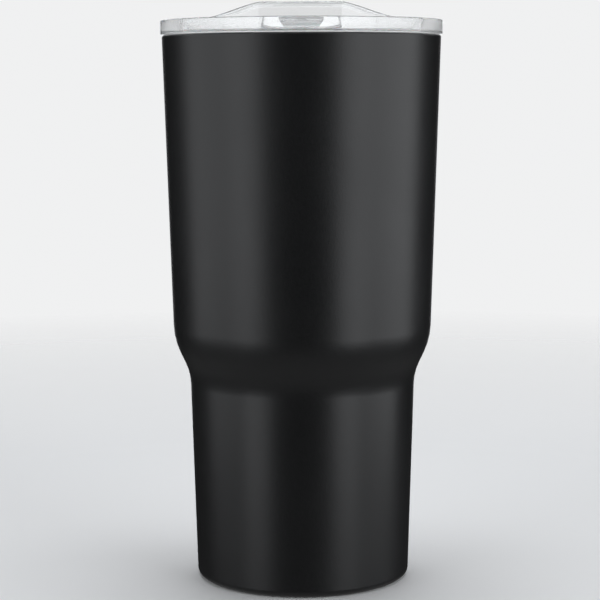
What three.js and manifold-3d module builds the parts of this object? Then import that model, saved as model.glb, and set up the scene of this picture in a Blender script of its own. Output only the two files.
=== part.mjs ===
// Insulated tumbler: a double-wall vacuum cup with a press-on clear lid and a sliding closure.
// Millimetres, +Z up. The origin is on the resting surface at the centre of the base, and the
// drinking side, where the lid's spout rises, faces -Y.

import * as THREE from "three";
import { mergeVertices } from "three/addons/utils/BufferGeometryUtils.js";
import Module from "manifold-3d";

const wasm = await Module();
wasm.setup();

// ---------------------------------------------------------------- driving dimensions

// Cup, outside. Radii are of the outer surface.
const CUP_HEIGHT = 197;
const RIM_RADIUS = 50.15;
const SHOULDER_RADIUS = 46.8; // where the wide upper wall ends
const SHOULDER_HEIGHT = 87.4;
const SHOULDER_FILLET = 25;
const GRIP_RADIUS = 41; // top of the narrow lower wall that fits a cup holder
const GRIP_HEIGHT = 75.2;
const GRIP_FILLET = 20;
const BASE_RADIUS = 38.8;
const BASE_FILLET = 2.6;
const LIP_FILLET = 1.5;

// Cup, walls. The outer shell and the inner liner are both pressed from the same sheet.
const SHEET = 0.5;
const VACUUM_GAP = 4.4;
const LIP_WIDTH = 2.95; // both sheets and the gap between them, at the mouth
const MOUTH_STEP_HEIGHT = 4; // the liner narrows over this height below the mouth
const MOUTH_STEP_FILLET = 3;
const LINER_FLOOR_HEIGHT = 11.5; // inside floor of the cup above the table
const LINER_FLOOR_FILLET = 5;
const LINER_FLOOR_WALL = 6.5; // upturned wall of the liner's floor pan
const WELD_GAP = 0.05; // between the edges of welded sheets

// Base. The shell rolls under into a foot ring, and the base pan closes it.
const FOOT_WIDTH = 5.6; // flat and fillets of the foot ring, from the base radius inwards
const FOOT_FILLET = 1;
const FOOT_CURL = 3;
const PAN_LIFT = 0.5; // the pan's weld edge above the table
const PAN_HEIGHT = 3.6; // underside of the pan
const PAN_FILLET = 1.2;
const DIMPLE_RADIUS = 9;
const DIMPLE_RISE = 1.5;
const DIMPLE_SLOPE = 1.5;
const PORT_RADIUS = 1.4; // the hole that the air is drawn out through
const PORT_CLEARANCE = 0.1;
const BEAD_RADIUS = 3.2;
const BEAD_HEIGHT = 1.1;
const COVER_RECESS = 1.2; // the cover plate above the table
const COVER_SHEET = 0.4;
const COVER_FILLET = 0.5;
const COVER_CLEARANCE = 0.2;

// Parts in the vacuum.
const FOIL_THICKNESS = 0.15;
const FOIL_CLEARANCE = 0.4;
const FOIL_MARGIN = 8; // bare liner left beyond each end of a foil wrap
const GETTER_RADIUS = 4.5;
const GETTER_THICKNESS = 1.8;
const GETTER_OFFSET = 17; // from the cup's axis
const GETTER_CLEARANCE = 0.2;
const CAGE_STRIP = 0.3;
const CAGE_WIDTH = 5;
const CAGE_FOOT = 4;

// Lid. Heights are above the cup's lip, and depths are below it.
const SEAT_GAP = 0.1;
const LID_OVERHANG = 0.65; // beyond the cup's rim
const FLANGE_HEIGHT = 5.2;
const FLANGE_WIDTH = 4.9; // from the outer wall to the deck
const FLANGE_TOP_WIDTH = 3.2;
const FLANGE_FILLET = 0.9;
const LEDGE_FILLET = 0.5;
const DECK_FILLET = 1.6; // between the deck and the flange's inner wall
const SPOUT_RISE = 4.7; // the raised drinking lip above the flange
const SPOUT_TOP_WIDTH = 28;
const SPOUT_FOOT_WIDTH = 61.6;
const SPOUT_EASING = 0.3; // of the spout's ramps: 0 leaves them straight, and 1 makes them an S
const LEDGE_WIDTH = 1.1; // the inside of the flange's top, which stays low behind the spout
const SPOUT_DRAFT = 0.3; // how far the spout's back wall leans
const DECK_TOP = 0.4;
const DECK_THICKNESS = 3;
const PLUG_DEPTH = 12;
const PLUG_WALL = 2.3;
const PLUG_CLEARANCE = 0.5; // to the cup's mouth
const PLUG_CHAMFER = 0.8;
const PLUG_FLOOR_CLEARANCE = 5; // from the plug to the step in the liner

// Gasket, in a groove round the plug.
const GASKET_TOP_DEPTH = 3;
const GASKET_HEIGHT = 5.4;
const GASKET_THICKNESS = 1.4;
const GASKET_CLEARANCE = 0.12;
const FIN_GAP = 0.2; // from a fin to the mouth's wall
const FIN_TIP = 0.5;
const FIN_ROOT = 1.6;

// Sliding closure. Lengths run along Y and widths along X.
const SLIDER_WIDTH = 26;
const SLIDER_LENGTH = 36;
const SLIDER_THICKNESS = 2.2;
const SLIDER_CORNER = 8;
const SLIDER_CLEARANCE = 0.3; // all round the slider in its track
const SLIDER_TRAVEL = 13;
const TRACK_DEPTH = 1.8;
const TRACK_MARGIN = 2.2; // deck left between the track and the flange
const SLOT_WIDTH = 19;
const SLOT_LENGTH = 6.5;
const SLOT_MARGIN = 3.5; // from the track's front end to the drinking slot
const GRIP_TAB_WIDTH = 15;
const GRIP_TAB_LENGTH = 7;
const GRIP_TAB_HEIGHT = 3;
const GRIP_TAB_SETBACK = 18; // from the slider's front edge to the tab's middle
const SEAL_WIDTH = 22;
const SEAL_LENGTH = 9.5;
const SEAL_THICKNESS = 1.2;
const SEAL_CLEARANCE = 0.12; // to its pocket in the slider
const SEAL_GAP = 0.1; // to the floor of the track
const STEM_WIDTH = 4.4;
const STEM_LENGTH = 7;
const STEM_CLEARANCE = 0.25; // to the guide slot in the deck
const POST_WIDTH = 2.8;
const POST_LENGTH = 4.4;
const POST_CLEARANCE = 0.12; // to the keeper's hole
const HEAD_HEIGHT = 0.8;
const KEEPER_WIDTH = 14;
const KEEPER_LENGTH = 14;
const KEEPER_THICKNESS = 1.5;
const KEEPER_CLEARANCE = 0.25; // above and below the keeper
const KEEPER_CORNER = 3;
const VENT_RADIUS = 1.2;
const VENT_SETBACK = 9; // from the deck's back edge

// Facets.
const CUP_FACETS = 48;
const LID_FACETS = 60;
const SMALL_FACETS = 16;
const CORNER_FACETS = 4;
const ARC_TOLERANCE = 0.15; // the most that a fillet's facets cut off it
const FILLET_SHARE = 0.49; // of a straight line, the most that one fillet may use
const STRAIGHT = 1e-6; // a turn in radians too small to be a corner
const MERGE_DISTANCE = 1e-4;
const OVERLAP = 1; // how far a cut or a joined solid runs past the face that it meets

// ---------------------------------------------------------------- materials

function material(color, roughness, metalness, opacity = 1) {
  return new THREE.MeshStandardMaterial({ color, roughness, metalness, opacity, transparent: opacity < 1 });
}

const powderCoat = material(0x141516, 0.45, 0);
const steel = material(0xb9babb, 0.3, 1);
const copper = material(0xc47a52, 0.3, 1);
const solderGlass = material(0x4a4f4a, 0.15, 0);
const getterAlloy = material(0x5b5d60, 0.6, 1);
const clearPlastic = material(0xeef2f3, 0.05, 0, 0.35);
const silicone = material(0xe6e8e6, 0.5, 0, 0.8);

// ---------------------------------------------------------------- profiles
// A profile is a list of corners [radius, height, fillet], joined by straight lines.

function direction(a, b) {
  const length = Math.hypot(b[0] - a[0], b[1] - a[1]);
  return [(b[0] - a[0]) / length, (b[1] - a[1]) / length];
}

// The profile moved sideways by a distance, to the right as it is walked. A fillet on the
// inside of its turn loses that distance, and one on the outside gains it.
function offsetProfile(corners, distance) {
  return corners.map((corner, i) => {
    const before = i > 0 ? direction(corners[i - 1], corner) : null;
    const after = i < corners.length - 1 ? direction(corner, corners[i + 1]) : null;
    const [ar, az] = before ?? after;
    const [br, bz] = after ?? before;
    const turn = ar * bz - az * br;
    const share = distance / (1 + ar * br + az * bz);
    const fillet = corner[2] ? Math.max(0, corner[2] + Math.sign(turn) * distance) : 0;
    return [corner[0] + share * (az + bz), corner[1] - share * (ar + br), fillet];
  });
}

// The points of a profile with its fillets drawn as arcs. A fillet is limited by the
// straight lines beside it.
function roundedPoints(corners) {
  const points = [];
  corners.forEach((corner, i) => {
    const [r, z, fillet = 0] = corner;
    if (!fillet || i === 0 || i === corners.length - 1) {
      points.push([r, z]);
      return;
    }
    const previous = corners[i - 1];
    const next = corners[i + 1];
    const [ar, az] = direction(previous, corner);
    const [br, bz] = direction(corner, next);
    const turn = Math.atan2(ar * bz - az * br, ar * br + az * bz);
    if (Math.abs(turn) < STRAIGHT) return;
    const room = FILLET_SHARE * Math.min(
      Math.hypot(r - previous[0], z - previous[1]),
      Math.hypot(next[0] - r, next[1] - z),
    );
    const radius = Math.min(fillet, room / Math.tan(Math.abs(turn) / 2));
    const tangent = radius * Math.tan(Math.abs(turn) / 2);
    const side = Math.sign(turn);
    const centre = [r - tangent * ar - side * radius * az, z - tangent * az + side * radius * ar];
    const start = Math.atan2(z - tangent * az - centre[1], r - tangent * ar - centre[0]);
    const widestStep = 2 * Math.acos(1 - Math.min(1, ARC_TOLERANCE / radius));
    const steps = Math.ceil(Math.abs(turn) / widestStep);
    for (let k = 0; k <= steps; k += 1) {
      const angle = start + (turn * k) / steps;
      points.push([centre[0] + radius * Math.cos(angle), centre[1] + radius * Math.sin(angle)]);
    }
  });
  return points;
}

// Revolves a closed outline about Z. An outline that starts and ends on the axis stays open.
function revolve(points, facets) {
  const outline = points.map(([r, z]) => new THREE.Vector2(Math.max(r, 0), z));
  const onAxis = outline[0].x === 0 && outline.at(-1).x === 0;
  if (THREE.ShapeUtils.area(outline) < 0) outline.reverse();
  if (!onAxis) outline.push(outline[0].clone());
  return new THREE.LatheGeometry(outline, facets).rotateX(Math.PI / 2);
}

// Pressed sheet: one face follows the profile, and the other lies a thickness to its right.
function sheet(corners, thickness, facets = CUP_FACETS) {
  const face = roundedPoints(corners);
  const back = roundedPoints(offsetProfile(corners, thickness));
  return revolve([...face, ...back.reverse()], facets);
}

function radiusBetween(low, high, z) {
  return low[0] + ((high[0] - low[0]) * (z - low[1])) / (high[1] - low[1]);
}

// ---------------------------------------------------------------- solids

function toSolid(geometry) {
  const bare = geometry.index ? geometry.toNonIndexed() : geometry.clone();
  bare.deleteAttribute("normal");
  bare.deleteAttribute("uv");
  const merged = mergeVertices(bare, MERGE_DISTANCE);
  return new wasm.Manifold(
    new wasm.Mesh({
      numProp: 3,
      vertProperties: merged.attributes.position.array,
      triVerts: new Uint32Array(merged.index.array),
    }),
  );
}

function toGeometry(solid) {
  const mesh = solid.getMesh();
  const geometry = new THREE.BufferGeometry();
  geometry.setAttribute("position", new THREE.BufferAttribute(mesh.vertProperties, 3));
  geometry.setIndex(new THREE.BufferAttribute(mesh.triVerts, 1));
  return geometry;
}

function combine(first, { add = [], cut = [] }) {
  let solid = toSolid(first);
  for (const geometry of add) solid = solid.add(toSolid(geometry));
  for (const geometry of cut) solid = solid.subtract(toSolid(geometry));
  return toGeometry(solid);
}

// A block with rounded corners in plan, from one height up to another, centred on (0, y).
function roundedBlock(width, length, corner, y, bottom, top) {
  const w = width / 2;
  const l = length / 2;
  const c = Math.min(corner, w, l);
  const shape = new THREE.Shape();
  shape.absarc(w - c, y + l - c, c, 0, Math.PI / 2);
  shape.absarc(c - w, y + l - c, c, Math.PI / 2, Math.PI);
  shape.absarc(c - w, y + c - l, c, Math.PI, Math.PI * 1.5);
  shape.absarc(w - c, y + c - l, c, Math.PI * 1.5, Math.PI * 2);
  const settings = { depth: top - bottom, bevelEnabled: false, curveSegments: CORNER_FACETS };
  return new THREE.ExtrudeGeometry(shape, settings).translate(0, 0, bottom);
}

// A block whose ends or sides are fully rounded.
function stadium(width, length, y, bottom, top) {
  return roundedBlock(width, length, Math.min(width, length) / 2, y, bottom, top);
}

function cylinder(radius, bottom, top, facets = SMALL_FACETS) {
  return new THREE.CylinderGeometry(radius, radius, top - bottom, facets)
    .rotateX(Math.PI / 2)
    .translate(0, 0, (bottom + top) / 2);
}

function piece(name, geometry, look) {
  const mesh = new THREE.Mesh(geometry, look);
  mesh.name = name;
  return mesh;
}

// ---------------------------------------------------------------- cup

const WALL = SHEET + VACUUM_GAP + SHEET;
const rimCorner = [RIM_RADIUS, CUP_HEIGHT, LIP_FILLET];
const shoulderCorner = [SHOULDER_RADIUS, SHOULDER_HEIGHT, SHOULDER_FILLET];
const gripCorner = [GRIP_RADIUS, GRIP_HEIGHT, GRIP_FILLET];
const baseCorner = [BASE_RADIUS, 0, BASE_FILLET];

const upperRadius = (z) => radiusBetween(shoulderCorner, rimCorner, z);
const lowerRadius = (z) => radiusBetween(baseCorner, gripCorner, z);
const mouthRadius = (z) => upperRadius(z) - LIP_WIDTH;

const mouthBottom = CUP_HEIGHT - PLUG_DEPTH - PLUG_FLOOR_CLEARANCE;
const stepBottom = mouthBottom - MOUTH_STEP_HEIGHT;
const floorWeld = LINER_FLOOR_HEIGHT + LINER_FLOOR_WALL;
const footRadius = BASE_RADIUS - FOOT_WIDTH;

// The liner's drinking side, below the mouth: the outer wall moved in by the wall's thickness.
const linerWall = offsetProfile([rimCorner, shoulderCorner, gripCorner, baseCorner], WALL);
const linerUpperRadius = (z) => radiusBetween(linerWall[1], linerWall[0], z);
const linerLowerRadius = (z) => radiusBetween(linerWall[3], linerWall[2], z);

// Wraps over the lip, down the outside and under into the foot ring.
function outerShell() {
  const weldEdge = [mouthRadius(CUP_HEIGHT) + SHEET + WELD_GAP, CUP_HEIGHT];
  const footInside = [footRadius, 0, FOOT_FILLET];
  const curlEdge = [footRadius, FOOT_CURL];
  return sheet([weldEdge, rimCorner, shoulderCorner, gripCorner, baseCorner, footInside, curlEdge], SHEET);
}

function innerLiner() {
  const profile = [
    [mouthRadius(CUP_HEIGHT), CUP_HEIGHT],
    [mouthRadius(mouthBottom), mouthBottom, MOUTH_STEP_FILLET],
    [linerUpperRadius(stepBottom), stepBottom, MOUTH_STEP_FILLET],
    linerWall[1],
    linerWall[2],
    [linerLowerRadius(floorWeld), floorWeld],
  ];
  return sheet(profile, -SHEET);
}

function linerFloor() {
  const edge = floorWeld - WELD_GAP;
  const profile = [
    [linerLowerRadius(edge), edge],
    [linerLowerRadius(LINER_FLOOR_HEIGHT), LINER_FLOOR_HEIGHT, LINER_FLOOR_FILLET],
    [0, LINER_FLOOR_HEIGHT],
  ];
  return sheet(profile, -SHEET);
}

const panRadius = footRadius - WELD_GAP - SHEET;
const dimpleHeight = PAN_HEIGHT + DIMPLE_RISE;

function basePan() {
  const profile = [
    [panRadius, PAN_LIFT],
    [panRadius, PAN_HEIGHT, PAN_FILLET],
    [DIMPLE_RADIUS + DIMPLE_SLOPE, PAN_HEIGHT, PAN_FILLET],
    [DIMPLE_RADIUS, dimpleHeight, PAN_FILLET],
    [PORT_RADIUS, dimpleHeight],
  ];
  return sheet(profile, SHEET);
}

// A drop of glass solder that fills the port and domes out below it.
function sealBead() {
  const stem = PORT_RADIUS - PORT_CLEARANCE;
  const shoulder = dimpleHeight - PORT_CLEARANCE;
  const dome = roundedPoints([
    [BEAD_RADIUS, shoulder],
    [BEAD_RADIUS, shoulder - BEAD_HEIGHT, BEAD_HEIGHT],
    [0, shoulder - BEAD_HEIGHT],
  ]);
  const top = dimpleHeight + SHEET;
  return revolve([[0, top], [stem, top], [stem, shoulder], ...dome], SMALL_FACETS);
}

// A shallow plate whose edge stops below the pan's fillet.
function baseCover() {
  const radius = panRadius - COVER_CLEARANCE;
  const profile = [
    [radius, PAN_HEIGHT - PAN_FILLET - COVER_CLEARANCE],
    [radius, COVER_RECESS, COVER_FILLET],
    [0, COVER_RECESS],
  ];
  return sheet(profile, COVER_SHEET);
}

// Foil round the liner's outside, between two heights.
function foilWrap(radiusAt, bottom, top) {
  const outside = SHEET + FOIL_CLEARANCE;
  return sheet([[radiusAt(top) + outside, top], [radiusAt(bottom) + outside, bottom]], -FOIL_THICKNESS);
}

const upperFoil = [SHOULDER_HEIGHT + FOIL_MARGIN, stepBottom - FOIL_MARGIN];
const lowerFoil = [floorWeld + FOIL_MARGIN / 2, GRIP_HEIGHT - FOIL_MARGIN];

const linerUnderside = LINER_FLOOR_HEIGHT - SHEET;
const cageTop = linerUnderside - WELD_GAP;
const cageDepth = GETTER_CLEARANCE + GETTER_THICKNESS + GETTER_CLEARANCE + CAGE_STRIP;

// A strip bent like a hat's section: two feet on the liner's floor and a pocket between them.
function getterCage() {
  const pocket = GETTER_RADIUS + GETTER_CLEARANCE;
  const side = pocket + CAGE_STRIP;
  const foot = side + CAGE_FOOT;
  const low = cageTop - cageDepth;
  const outline = [
    [-foot, cageTop], [-foot, cageTop - CAGE_STRIP], [-side, cageTop - CAGE_STRIP], [-side, low],
    [side, low], [side, cageTop - CAGE_STRIP], [foot, cageTop - CAGE_STRIP], [foot, cageTop],
    [pocket, cageTop], [pocket, low + CAGE_STRIP], [-pocket, low + CAGE_STRIP], [-pocket, cageTop],
  ];
  const shape = new THREE.Shape(outline.map(([x, z]) => new THREE.Vector2(x, z)));
  return new THREE.ExtrudeGeometry(shape, { depth: CAGE_WIDTH, bevelEnabled: false })
    .rotateX(Math.PI / 2)
    .translate(0, CAGE_WIDTH / 2, 0);
}

function getterPellet() {
  const bottom = cageTop - cageDepth + CAGE_STRIP + GETTER_CLEARANCE;
  return cylinder(GETTER_RADIUS, bottom, bottom + GETTER_THICKNESS);
}

// ---------------------------------------------------------------- lid

const seat = CUP_HEIGHT + SEAT_GAP;
const lidRadius = RIM_RADIUS + LID_OVERHANG;
const flangeTop = seat + FLANGE_HEIGHT;
const spoutTop = flangeTop + SPOUT_RISE;
const ledgeInside = lidRadius - FLANGE_TOP_WIDTH;
const ledgeRadius = ledgeInside + LEDGE_WIDTH;
const deckRadius = lidRadius - FLANGE_WIDTH;
const deckTop = CUP_HEIGHT + DECK_TOP;
const deckBottom = deckTop - DECK_THICKNESS;
const trackFloor = deckTop - TRACK_DEPTH;

const plugBottom = CUP_HEIGHT - PLUG_DEPTH;
const plugRadius = (z) => mouthRadius(z) - PLUG_CLEARANCE;
const grooveTop = CUP_HEIGHT - GASKET_TOP_DEPTH;
const grooveBottom = grooveTop - GASKET_HEIGHT;
const grooveRadius = plugRadius(grooveBottom) - GASKET_THICKNESS;
const plugInside = grooveRadius - PLUG_WALL;

// The height of the lid's top edge: flat over the spout, flat round the flange, and an eased
// ramp between them.
function crownHeight(x, y) {
  if (y > 0) return flangeTop;
  const ramp = (SPOUT_FOOT_WIDTH / 2 - Math.abs(x)) / ((SPOUT_FOOT_WIDTH - SPOUT_TOP_WIDTH) / 2);
  const straight = THREE.MathUtils.clamp(ramp, 0, 1);
  const eased = THREE.MathUtils.lerp(straight, THREE.MathUtils.smoothstep(straight, 0, 1), SPOUT_EASING);
  return flangeTop + SPOUT_RISE * eased;
}

// Stretches what stands above the deck, outside the ledge, up to the crown.
function raiseSpout(geometry) {
  const position = geometry.attributes.position;
  for (let i = 0; i < position.count; i += 1) {
    const [x, y, z] = [position.getX(i), position.getY(i), position.getZ(i)];
    if (z <= deckTop || Math.hypot(x, y) < ledgeRadius + SPOUT_DRAFT / 2) continue;
    position.setZ(i, deckTop + ((z - deckTop) * (crownHeight(x, y) - deckTop)) / (flangeTop - deckTop));
  }
  return geometry;
}

// Places along Y, from the track's front end backwards. The slider rests shut, over the slot.
const trackFront = TRACK_MARGIN - deckRadius;
const trackLength = SLIDER_LENGTH + SLIDER_TRAVEL + 2 * SLIDER_CLEARANCE;
const trackWidth = SLIDER_WIDTH + 2 * SLIDER_CLEARANCE;
const sliderFront = trackFront + SLIDER_CLEARANCE;
const sliderMiddle = sliderFront + SLIDER_LENGTH / 2;
const slotMiddle = trackFront + SLOT_MARGIN + SLOT_LENGTH / 2;
const sealMiddle = slotMiddle;
const tabMiddle = sliderFront + GRIP_TAB_SETBACK;
const stemMiddle = tabMiddle;
const guideLength = STEM_LENGTH + SLIDER_TRAVEL + 2 * STEM_CLEARANCE;
const guideMiddle = stemMiddle + SLIDER_TRAVEL / 2;
const sliderBottom = trackFloor + SEAL_GAP + SLIDER_CLEARANCE;
const sliderTop = sliderBottom + SLIDER_THICKNESS;
const keeperTop = deckBottom - KEEPER_CLEARANCE;
const keeperBottom = keeperTop - KEEPER_THICKNESS;

function lidShell() {
  const outline = roundedPoints([
    [0, deckTop],
    [deckRadius, deckTop, DECK_FILLET],
    [ledgeInside, flangeTop, LEDGE_FILLET],
    [ledgeRadius, flangeTop],
    [ledgeRadius + SPOUT_DRAFT, flangeTop],
    [lidRadius, flangeTop, FLANGE_FILLET],
    [lidRadius, seat],
    [plugRadius(seat), seat],
    [plugRadius(grooveTop), grooveTop],
    [grooveRadius, grooveTop],
    [grooveRadius, grooveBottom],
    [plugRadius(grooveBottom), grooveBottom],
    [plugRadius(plugBottom), plugBottom + PLUG_CHAMFER],
    [plugRadius(plugBottom) - PLUG_CHAMFER, plugBottom],
    [plugInside, plugBottom],
    [plugInside, deckBottom, FLANGE_FILLET],
    [0, deckBottom],
  ]);
  const through = [deckBottom - OVERLAP, deckTop + OVERLAP];
  const trackMiddle = trackFront + trackLength / 2;
  const vent = cylinder(VENT_RADIUS, ...through).translate(0, deckRadius - VENT_SETBACK, 0);
  const guideWidth = STEM_WIDTH + 2 * STEM_CLEARANCE;
  return combine(raiseSpout(revolve(outline, LID_FACETS)), {
    cut: [
      roundedBlock(trackWidth, trackLength, SLIDER_CORNER, trackMiddle, trackFloor, deckTop + OVERLAP),
      stadium(SLOT_WIDTH, SLOT_LENGTH, slotMiddle, ...through),
      stadium(guideWidth, guideLength, guideMiddle, ...through),
      vent,
    ],
  });
}

// A sleeve in the plug's groove with two fins that wipe the cup's mouth.
function lidGasket() {
  const top = grooveTop - GASKET_CLEARANCE;
  const bottom = grooveBottom + GASKET_CLEARANCE;
  const inside = grooveRadius + GASKET_CLEARANCE;
  const band = (z) => plugRadius(z) - GASKET_CLEARANCE;
  const fin = (z) => [
    [band(z + FIN_ROOT / 2), z + FIN_ROOT / 2],
    [mouthRadius(z) - FIN_GAP, z + FIN_TIP / 2],
    [mouthRadius(z) - FIN_GAP, z - FIN_TIP / 2],
    [band(z - FIN_ROOT / 2), z - FIN_ROOT / 2],
  ];
  const quarter = (top - bottom) / 4;
  const outline = [
    [inside, top], [band(top), top],
    ...fin(top - quarter),
    ...fin(bottom + quarter),
    [band(bottom), bottom], [inside, bottom],
  ];
  return revolve(outline, LID_FACETS);
}

function slider() {
  const stemBottom = keeperTop + POST_CLEARANCE;
  const postBottom = keeperBottom - KEEPER_CLEARANCE;
  const headBottom = postBottom - HEAD_HEIGHT;
  const postRoot = postBottom - HEAD_HEIGHT / 2;
  const stem = stadium(STEM_WIDTH, STEM_LENGTH, stemMiddle, stemBottom, sliderBottom + OVERLAP);
  const post = stadium(POST_WIDTH, POST_LENGTH, stemMiddle, postRoot, keeperTop + OVERLAP);
  const head = stadium(STEM_WIDTH, STEM_LENGTH, stemMiddle, headBottom, postBottom);
  const pocketTop = trackFloor + SEAL_GAP + SEAL_THICKNESS + SEAL_CLEARANCE;
  const pocket = stadium(
    SEAL_WIDTH + 2 * SEAL_CLEARANCE, SEAL_LENGTH + 2 * SEAL_CLEARANCE,
    sealMiddle, sliderBottom - OVERLAP, pocketTop,
  );
  const plan = [SLIDER_WIDTH, SLIDER_LENGTH, SLIDER_CORNER, sliderMiddle];
  const plate = roundedBlock(...plan, sliderBottom, sliderTop);
  return combine(plate, { add: [gripTab(), stem, post, head], cut: [pocket] });
}

// The thumb tab across the slider: a ridge with leaning faces and a rounded top.
function gripTab() {
  const half = GRIP_TAB_LENGTH / 2;
  const lean = half / 2;
  const top = sliderTop + GRIP_TAB_HEIGHT;
  const ridge = roundedPoints([
    [tabMiddle - half, sliderTop - OVERLAP],
    [tabMiddle - lean, top, lean / 2],
    [tabMiddle + lean, top, lean / 2],
    [tabMiddle + half, sliderTop - OVERLAP],
  ]);
  const shape = new THREE.Shape(ridge.map(([y, z]) => new THREE.Vector2(y, z)));
  return new THREE.ExtrudeGeometry(shape, { depth: GRIP_TAB_WIDTH, bevelEnabled: false })
    .rotateX(Math.PI / 2)
    .rotateZ(Math.PI / 2)
    .translate(-GRIP_TAB_WIDTH / 2, 0, 0);
}

function sliderSeal() {
  const bottom = trackFloor + SEAL_GAP;
  return stadium(SEAL_WIDTH, SEAL_LENGTH, sealMiddle, bottom, bottom + SEAL_THICKNESS);
}

function sliderKeeper() {
  const plan = [KEEPER_WIDTH, KEEPER_LENGTH, KEEPER_CORNER, stemMiddle];
  const plate = roundedBlock(...plan, keeperBottom, keeperTop);
  const hole = stadium(
    POST_WIDTH + 2 * POST_CLEARANCE, POST_LENGTH + 2 * POST_CLEARANCE,
    stemMiddle, keeperBottom - OVERLAP, keeperTop + OVERLAP,
  );
  return combine(plate, { cut: [hole] });
}

// ---------------------------------------------------------------- assembly

const cup = new THREE.Group();
cup.add(
  piece("outer_shell", outerShell(), powderCoat),
  piece("inner_liner", innerLiner(), steel),
  piece("liner_floor", linerFloor(), steel),
  piece("base_pan", basePan(), steel),
  piece("base_cover", baseCover(), steel),
  piece("vacuum_seal_bead", sealBead(), solderGlass),
  piece("upper_foil_wrap", foilWrap(linerUpperRadius, ...upperFoil), copper),
  piece("lower_foil_wrap", foilWrap(linerLowerRadius, ...lowerFoil), copper),
);

const getter = new THREE.Group();
getter.add(
  piece("getter_cage", getterCage(), steel),
  piece("getter_pellet", getterPellet(), getterAlloy),
);
getter.position.y = GETTER_OFFSET;
cup.add(getter);

const closure = new THREE.Group();
closure.add(
  piece("slider", slider(), clearPlastic),
  piece("slider_seal", sliderSeal(), silicone),
  piece("slider_keeper", sliderKeeper(), clearPlastic),
);

const lid = new THREE.Group();
lid.add(
  piece("lid_shell", lidShell(), clearPlastic),
  piece("lid_gasket", lidGasket(), silicone),
  closure,
);

const tumbler = new THREE.Group();
tumbler.add(cup, lid);

export default tumbler;
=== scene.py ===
"""The looks of a black powder-coated vacuum tumbler with a clear lid and a sliding closure.

Outlines are in millimetres and meshes in metres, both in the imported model's frame: +Z up, the
base on z = 0, and the drinking side of the lid towards -Y.
"""
import math

import bmesh
import bpy
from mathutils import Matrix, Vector


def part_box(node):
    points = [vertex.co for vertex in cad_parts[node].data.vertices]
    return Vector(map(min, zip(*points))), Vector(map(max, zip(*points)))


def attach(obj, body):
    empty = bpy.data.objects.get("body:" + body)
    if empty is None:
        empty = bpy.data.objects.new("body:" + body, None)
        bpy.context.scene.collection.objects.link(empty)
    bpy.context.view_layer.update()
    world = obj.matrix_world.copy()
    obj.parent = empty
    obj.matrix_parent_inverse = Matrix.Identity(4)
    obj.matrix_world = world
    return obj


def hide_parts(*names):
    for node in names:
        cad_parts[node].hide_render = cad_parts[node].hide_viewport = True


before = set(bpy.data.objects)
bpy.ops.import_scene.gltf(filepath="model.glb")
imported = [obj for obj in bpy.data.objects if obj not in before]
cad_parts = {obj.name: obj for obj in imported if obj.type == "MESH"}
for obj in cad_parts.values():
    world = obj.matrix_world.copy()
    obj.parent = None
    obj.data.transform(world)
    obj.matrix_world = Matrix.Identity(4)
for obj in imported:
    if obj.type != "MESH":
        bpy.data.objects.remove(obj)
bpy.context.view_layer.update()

MM = 0.001

# ---------------------------------------------------------------- driving dimensions, in mm

# Cup.
CUP_HEIGHT = 197.0
RIM_RADIUS = 50.15
SHOULDER = (46.8, 87.4, 25.0)  # radius, height and fillet
GRIP = (41.0, 75.2, 20.0)
BASE_RADIUS = 38.8
BASE_FILLET = 2.6
LIP_FILLET = 0.8
SHEET = 0.5
VACUUM_GAP = 4.4
WALL = SHEET + VACUUM_GAP + SHEET
LIP_WIDTH = 2.95
WELD_GAP = 0.05
MOUTH_BOTTOM = 180.0
MOUTH_STEP_BOTTOM = 176.0
MOUTH_STEP_FILLET = 3.0
LINER_FLOOR_HEIGHT = 11.5
LINER_FLOOR_WALL = 6.5
LINER_FLOOR_FILLET = 5.0
FOOT_WIDTH = 5.6
FOOT_FILLET = 1.0
FOOT_CURL = 3.0
PAN_LIFT = 0.5
PAN_HEIGHT = 3.6
PAN_FILLET = 1.2
DIMPLE_RADIUS = 9.0
DIMPLE_RISE = 1.5
DIMPLE_SLOPE = 1.5
PORT_RADIUS = 1.4
COVER_RECESS = 1.2
COVER_SHEET = 0.4
COVER_FILLET = 0.5
COVER_CLEARANCE = 0.2

# Lid.
SEAT = 197.1
LID_RADIUS = 50.8
FLANGE_TOP = 202.3
SEAT_FILLET = 0.4
FLANGE_FILLET = 0.5
LEDGE_INSIDE = 47.6  # the inside of the flange's top, which stays low behind the spout
LEDGE_RADIUS = 48.7
SPOUT_BLEND = 0.75  # how far the spout's back wall curves over to its top
SPOUT_RISE = 4.7
SPOUT_TOP_HALF = 14.0  # where the spout's ramp meets its top and its foot, from the middle
SPOUT_FOOT_HALF = 30.8
SPOUT_EASING = 0.3  # of the spout's ramps: 0 leaves them straight, and 1 makes them an S
RIGID_TOP = 1.0  # the top of the wall keeps its edges as the spout rises
DECK_RADIUS = 45.9
DECK_TOP = 197.4
DECK_FILLET = 1.6
DECK_BOTTOM = 194.4
DECK_UNDER_FILLET = 0.9
TRACK_FLOOR = 195.6
PLUG_BOTTOM = 185.0
PLUG_CLEARANCE = 0.5
PLUG_CHAMFER = 0.8
PLUG_EDGE = 0.4
GROOVE_TOP = 194.0
GROOVE_BOTTOM = 188.6
GASKET_THICKNESS = 1.4
GROOVE_FILLET = 0.2
BAND_FILLET = 0.25
FIN_HALF = 0.8
FIN_FILLET = 0.35
FIN_INSET = 0.02
TIP_ABOVE = 0.2  # a fin's tip reaches this far above and below its middle
TIP_BELOW = 0.25
TIP_FILLET = 0.18
PLUG_WALL = 2.3
SOFT_EDGE = 0.15  # on edges that are barely rounded
MOULDED_EDGE = 0.3

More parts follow.
